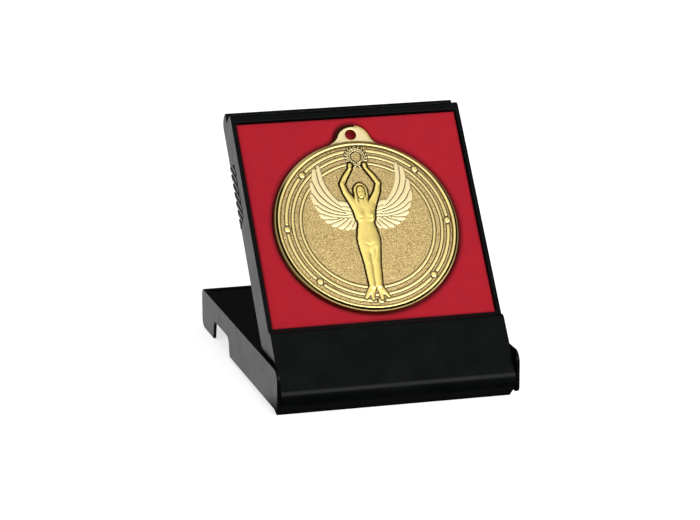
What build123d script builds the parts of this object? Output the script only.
from build123d import *

import os
from math import asin, atan2, cos, degrees, hypot, radians, sin, sqrt, tan

# Medal presentation case, opened out as a display stand, with its medal in place.
#
# Millimetres, +Z up, front towards -Y. The origin is on the table, at the centre of the footprint.
# Both halves are drawn flat in the hinge frame, as if the case were shut: the hinge axis is the
# X axis, +Y runs from the hinge to the free end and +Z faces the viewer. Each half is then turned
# about the hinge axis to where it stands in the display pose.

# The case is sized round the medal that it is made for
medal_diameter = 70.0
insert_border_side = 8.0
insert_border_bottom = 3.94
insert_border_top = 3.6

# Case as a whole
case_thickness = 15.6
hinge_setback = 11.8
hinge_depth = 5.5
side_gap = 0.2
lid_gap = 0.3
rest_gap = 0.08

# Cover
cover_wall = 1.2
plate_thickness = 1.6
plate_edge_radius = 1.0
plate_border = 2.0
plate_recess_depth = 0.25
ear_setback = 2.05
ear_top_radius = 4.5
ear_bottom_radius = 2.2
cover_edge_round = 0.4
cover_end_top_radius = 2.5

# Finger notches in the cover's side walls
notch_setback = 32.5
notch_mouth = 27.4
notch_height = 7.6
notch_lean = 14.0
notch_radius = 3.2

# Display half
apron_length = 28.5
apron_rise = 2.15
apron_round = 2.0
spine_front_radius = 4.3
foot_cut_height = 4.05
foot_cut_length = 6.0
ledge_setback = 4.0
lobe_height = 6.55
front_edge_radius = 2.0
lobe_radius = 4.0
lobe_front_round = 0.5
frame_lip_side = 1.6
frame_lip_bottom = 1.3
frame_lip_top = 1.75
pocket_corner_radius = 1.0
back_wall = 1.6
edge_round = 0.3

# Cored-out back of the spine
core_count = 8
core_rib = 1.2
core_end_wall = 3.4
core_skin = 1.8
core_margin = 1.2

# Grips on the sides of the display half
grip_groove_count = 8
grip_pitch = 3.7
grip_groove_width = 1.0
grip_rise = 0.15
grip_groove_depth = 0.4
grip_angle = 36.0
grip_margin = 0.9

# Hinge bosses and sockets
boss_radius = 2.2
boss_length = 1.7
hinge_clearance = 0.06
socket_end_gap = 0.3

# Snap latch
bead_length = 22.0
bead_width = 1.4
bead_height = 0.2
bead_play = 0.4
bead_lift = 2.45

# Insert
facing_recess = 0.95
facing_thickness = 0.7
card_thickness = 0.8
insert_gap = 0.15

# Medal
medal_thickness = 4.0
medal_front_rise = 0.3
medal_rim_width = 1.8
medal_rim_rise = 0.8
medal_edge_round = 0.6
medal_bead_radius = 1.05
medal_bead_rise = 0.7
medal_bead_setback = 4.1
medal_bead_count = 8
lug_radius = 7.2
lug_rise = 6.9
lug_thickness = 3.2
lug_hole_radius = 2.1
lug_hole_setback = 4.0
lug_flare = 8.2
well_clearance = 0.4

# Cuts run past the faces that they open by this much
overrun = 1.0

# Places closer than this count as the same place
same_place = 0.01

# Sizes that follow from the ones above
medal_radius = medal_diameter / 2
lug_reach = medal_radius + lug_rise
pocket_half = medal_radius + insert_border_side
tray_half = pocket_half + frame_lip_side
case_half = tray_half + side_gap + cover_wall
back_z = hinge_depth - case_thickness
frame_z = hinge_depth - apron_rise
spine_end_y = -hinge_setback
step_y = apron_length - hinge_setback
pocket_front_y = step_y + frame_lip_bottom
medal_y = pocket_front_y + insert_border_bottom + medal_radius
pocket_back_y = medal_y + lug_reach + insert_border_top
ledge_y = pocket_back_y + frame_lip_top + front_edge_radius
ledge_z = back_z + lobe_height
free_end_y = ledge_y + ledge_setback
notch_y = free_end_y - notch_setback
plate_front_y = step_y + lid_gap
plate_under_z = hinge_depth - plate_thickness
ear_front_y = spine_end_y + ear_setback
end_wall_inner_y = ledge_y + lid_gap
end_wall_foot_z = ledge_z + lid_gap
pocket_floor_z = back_z + back_wall
facing_z = frame_z - facing_recess
foam_top_z = facing_z - facing_thickness
card_top_z = pocket_floor_z + card_thickness
medal_back_z = frame_z + medal_front_rise - medal_thickness
bead_z = ledge_z + bead_lift

# The display half leans back until its back face meets the rounded front edge of the plate
stop_y = plate_front_y + plate_edge_radius
stop_z = hinge_depth - plate_edge_radius
stop_reach = plate_edge_radius + rest_gap - back_z
display_angle = degrees(asin(stop_reach / hypot(stop_y, stop_z)) + atan2(stop_z, stop_y))

# The stand rests on the corner of the spine in front and on the cover's far end behind
foot_corner_z = back_z + foot_cut_height
foot_y = spine_end_y * cos(radians(display_angle)) - foot_corner_z * sin(radians(display_angle))
foot_z = spine_end_y * sin(radians(display_angle)) + foot_corner_z * cos(radians(display_angle))
heel_y = free_end_y - lobe_radius
heel_z = back_z + lobe_radius
heel_span = hypot(heel_y - foot_y, heel_z - foot_z)
tilt = degrees(asin(lobe_radius / heel_span) - atan2(heel_z - foot_z, heel_y - foot_y))


def profile_plane(x):
    """Plane across the width at x, with its own x along +Y and its own y along +Z."""
    return Plane(origin=(x, 0, 0), x_dir=(0, 1, 0), z_dir=(1, 0, 0))


def extruded(face, x_start, width):
    """Solid of a face drawn in the profile plane, from x_start over a width along +X."""
    return extrude(profile_plane(x_start) * face, amount=width)


def block(low, high):
    """Box between two corners."""
    sizes = [top - bottom for bottom, top in zip(low, high)]
    return Pos(*low) * Box(*sizes, align=(Align.MIN, Align.MIN, Align.MIN))


def rounded_outline(corners):
    """Face through corners given as (y, z, radius), each rounded by its own radius."""
    face = make_face(Polyline(*[(y, z) for y, z, _ in corners], close=True))
    for y, z, radius in corners:
        if radius > 0:
            vertex = face.vertices().sort_by_distance((y, z))[0]
            face = fillet(vertex, radius)
    return face


def display_profile():
    """Side outline of the display half, with the apron, the front lip, the ledge and the lobe."""
    return rounded_outline([
        (spine_end_y, hinge_depth, spine_front_radius),
        (step_y, hinge_depth, apron_round),
        (step_y, frame_z, 0),
        (ledge_y, frame_z, front_edge_radius),
        (ledge_y, ledge_z, 0),
        (free_end_y, ledge_z, lobe_front_round),
        (free_end_y, back_z, lobe_radius),
        (spine_end_y + foot_cut_length, back_z, 0),
        (spine_end_y, foot_corner_z, 0),
    ])


def insert_block(low_z, high_z):
    """Slab that fills the pocket of the display half between two heights."""
    half = pocket_half - insert_gap
    low_y = pocket_front_y + insert_gap
    high_y = pocket_back_y - insert_gap
    slab = block((-half, low_y, low_z), (half, high_y, high_z))
    corner = pocket_corner_radius - insert_gap
    return fillet(slab.edges().filter_by(Axis.Z), corner)


def medal_outline(growth):
    """Outline of the medal with its lug, grown by a clearance, centred on the medal."""
    disc = Circle(medal_radius + growth)
    head = Pos(0, lug_reach - lug_radius) * Circle(lug_radius + growth)
    base_y = sqrt(medal_radius ** 2 - lug_flare ** 2)
    base = lug_flare + growth
    head_y = lug_reach - lug_radius
    head_half = lug_radius + growth
    neck = make_face(Polyline(
        (-base, base_y), (base, base_y), (head_half, head_y), (-head_half, head_y), close=True
    ))
    return disc + head + neck


def notch_face(inset, run_out):
    """Notch outline in the profile plane: widest at the back, with rounded inner corners."""
    slope = tan(radians(notch_lean))
    low_z = back_z - run_out
    high_z = back_z + notch_height - inset
    mouth_half = notch_mouth / 2 - inset
    low_half = mouth_half + run_out * slope
    high_half = mouth_half - (high_z - back_z) * slope
    corner = notch_radius - inset
    return rounded_outline([
        (notch_y - low_half, low_z, 0),
        (notch_y - high_half, high_z, corner),
        (notch_y + high_half, high_z, corner),
        (notch_y + low_half, low_z, 0),
    ])


def grip(side):
    """Raised grip patch on one side, as the piece to add and the slanted grooves to cut."""
    patch = notch_face(grip_margin, 0)
    face_x = side * tray_half
    raised_x = min(face_x, face_x + side * grip_rise)
    groove_x = min(face_x - side * grip_groove_depth, face_x + side * (grip_rise + overrun))
    groove_run = grip_groove_depth + grip_rise + overrun
    middle = (grip_groove_count - 1) / 2
    grooves = []
    for index in range(grip_groove_count):
        centre_y = notch_y + (index - middle) * grip_pitch
        slot = Pos(centre_y, back_z + notch_height / 2) * Rot(0, 0, -grip_angle) * SlotOverall(
            notch_height * 2, grip_groove_width
        )
        grooves.append(extruded(slot & patch, groove_x, groove_run))
    return extruded(patch, raised_x, grip_rise), grooves


def side_edges(body, face_x):
    """Edges of the two side faces of a moulding."""
    return [edge for edge in body.edges() if abs(abs(edge.center().X) - face_x) < same_place]


def display_half():
    """Black moulding that holds the insert and the medal."""
    body = extruded(display_profile(), -tray_half, tray_half * 2)
    body = fillet(side_edges(body, tray_half), edge_round)
    pocket = block(
        (-pocket_half, pocket_front_y, pocket_floor_z),
        (pocket_half, pocket_back_y, hinge_depth + overrun),
    )
    body -= fillet(pocket.edges().filter_by(Axis.Z), pocket_corner_radius)
    pocket_rim = [
        edge for edge in body.edges()
        if abs(edge.center().Z - frame_z) < same_place
        and abs(edge.center().X) < pocket_half + same_place
        and pocket_front_y - same_place < edge.center().Y < pocket_back_y + same_place
    ]
    body = fillet(pocket_rim, edge_round)
    core_low_y = spine_end_y + foot_cut_length + core_margin
    core_high_y = step_y - apron_round
    core_room = tray_half * 2 - core_end_wall * 2 - core_rib * (core_count - 1)
    core_width = core_room / core_count
    for index in range(core_count):
        low_x = -tray_half + core_end_wall + index * (core_width + core_rib)
        body -= block(
            (low_x, core_low_y, back_z - overrun),
            (low_x + core_width, core_high_y, hinge_depth - core_skin),
        )
    for side in (-1, 1):
        raised, grooves = grip(side)
        body += raised
        for groove in grooves:
            body -= groove
        body -= hinge_barrel(side, boss_radius + hinge_clearance, socket_end_gap)
    groove_low_y = ledge_y - bead_height - lid_gap / 2
    body -= block(
        (-bead_length / 2 - bead_play, groove_low_y, bead_z - bead_width / 2 - bead_play),
        (bead_length / 2 + bead_play, ledge_y + overrun, bead_z + bead_width / 2 + bead_play),
    )
    return body


def hinge_barrel(side, radius, extra_length):
    """Cylinder on the hinge axis that reaches inwards from one ear."""
    inner_face_x = case_half - cover_wall
    length = boss_length + extra_length
    centre_x = side * (inner_face_x - length / 2)
    return Pos(centre_x, 0, 0) * Rot(0, 90, 0) * Cylinder(radius, length)


def cover_profile():
    """Side outline of a cover wall with its rounded ear and the rounded far end."""
    return rounded_outline([
        (ear_front_y, hinge_depth, ear_top_radius),
        (free_end_y, hinge_depth, cover_end_top_radius),
        (free_end_y, back_z, lobe_radius),
        (ear_front_y, back_z, ear_bottom_radius),
    ])


def cover():
    """Black moulding that closes over the front and serves as the foot of the stand."""
    half = case_half
    outer = extruded(cover_profile(), -half, half * 2)
    outer = fillet(side_edges(outer, half), cover_edge_round)
    hollow = block(
        (-half + cover_wall, ear_front_y - overrun, back_z - overrun),
        (half - cover_wall, end_wall_inner_y, plate_under_z),
    )
    body = outer - hollow
    body -= block(
        (-half + cover_wall, ear_front_y - overrun, plate_under_z - overrun),
        (half - cover_wall, plate_front_y, hinge_depth + overrun),
    )
    body -= block(
        (-half + cover_wall, end_wall_inner_y - overrun, back_z - overrun),
        (half - cover_wall, free_end_y + overrun, end_wall_foot_z),
    )
    front_edges = [
        edge for edge in body.edges()
        if abs(edge.center().Y - plate_front_y) < same_place
        and abs(edge.center().Z - hinge_depth) < same_place
        and abs(edge.center().X) < same_place
    ]
    body = fillet(front_edges, plate_edge_radius)
    body -= block(
        (-half + plate_border, plate_front_y + plate_border, hinge_depth - plate_recess_depth),
        (half - plate_border, free_end_y - cover_end_top_radius - plate_border,
         hinge_depth + overrun),
    )
    body -= extruded(notch_face(0, overrun), -half - overrun, (half + overrun) * 2)
    for side in (-1, 1):
        body += hinge_barrel(side, boss_radius, 0)
    body += block(
        (-bead_length / 2, end_wall_inner_y - bead_height, bead_z - bead_width / 2),
        (bead_length / 2, end_wall_inner_y, bead_z + bead_width / 2),
    )
    return body


def well_cut(low_z, high_z):
    """Space of the medal and its clearance between two heights."""
    outline = Pos(0, medal_y, low_z) * medal_outline(well_clearance)
    return extrude(outline, amount=high_z - low_z)


def velour_facing():
    """Red velour face of the insert, cut out for the medal."""
    slab = insert_block(foam_top_z, facing_z)
    return slab - well_cut(foam_top_z - overrun, facing_z + overrun)


def foam_pad():
    """Dense foam body of the insert, with the well whose floor carries the medal."""
    slab = insert_block(card_top_z, foam_top_z)
    return slab - well_cut(medal_back_z, foam_top_z + overrun)


def backing_card():
    """Stiff card on the back of the foam."""
    return insert_block(pocket_floor_z, card_top_z)


def medal():
    """Struck medal with a raised rim, beads on the border and a holed lug."""
    field_z = medal_thickness - medal_rim_rise
    bead_circle = medal_radius - medal_bead_setback
    disc = extrude(Circle(medal_radius), amount=medal_thickness)
    disc = fillet(disc.edges(), medal_edge_round)
    lug = extrude(medal_outline(0), amount=lug_thickness)
    body = disc + lug
    body -= Pos(0, 0, field_z) * extrude(
        Circle(medal_radius - medal_rim_width), amount=medal_thickness
    )
    body -= Pos(0, lug_reach - lug_hole_setback, -overrun) * extrude(
        Circle(lug_hole_radius), amount=lug_thickness + overrun * 2
    )
    ball_radius = (medal_bead_radius ** 2 + medal_bead_rise ** 2) / (2 * medal_bead_rise)
    ball_z = field_z + medal_bead_rise - ball_radius
    for index in range(1, medal_bead_count):
        angle = 90 + index * 360 / medal_bead_count
        body += Rot(0, 0, angle) * Pos(bead_circle, 0, ball_z) * Sphere(ball_radius)
    return Pos(0, medal_y, medal_back_z) * body


# The case as it stands, turned about the hinge axis
standing = {
    "cover_stand": Rot(tilt, 0, 0) * cover(),
    "display_half": Rot(tilt + display_angle, 0, 0) * display_half(),
    "velour_facing": Rot(tilt + display_angle, 0, 0) * velour_facing(),
    "foam_pad": Rot(tilt + display_angle, 0, 0) * foam_pad(),
    "backing_card": Rot(tilt + display_angle, 0, 0) * backing_card(),
    "medal": Rot(tilt + display_angle, 0, 0) * medal(),
}

# It is then moved so that the table is at zero and the footprint is centred
bounds = [piece.bounding_box() for piece in standing.values()]
front_y = min(box.min.Y for box in bounds)
rear_y = max(box.max.Y for box in bounds)
hinge_y = -(front_y + rear_y) / 2
hinge_z = -min(box.min.Z for box in bounds)

os.makedirs("parts", exist_ok=True)
for name, piece in standing.items():
    export_step(Pos(0, hinge_y, hinge_z) * piece, f"parts/{name}.step")

print(f"display angle {display_angle:.3f}, tilt {tilt:.3f}")
print(f"hinge axis at y {hinge_y:.3f}, z {hinge_z:.3f}")
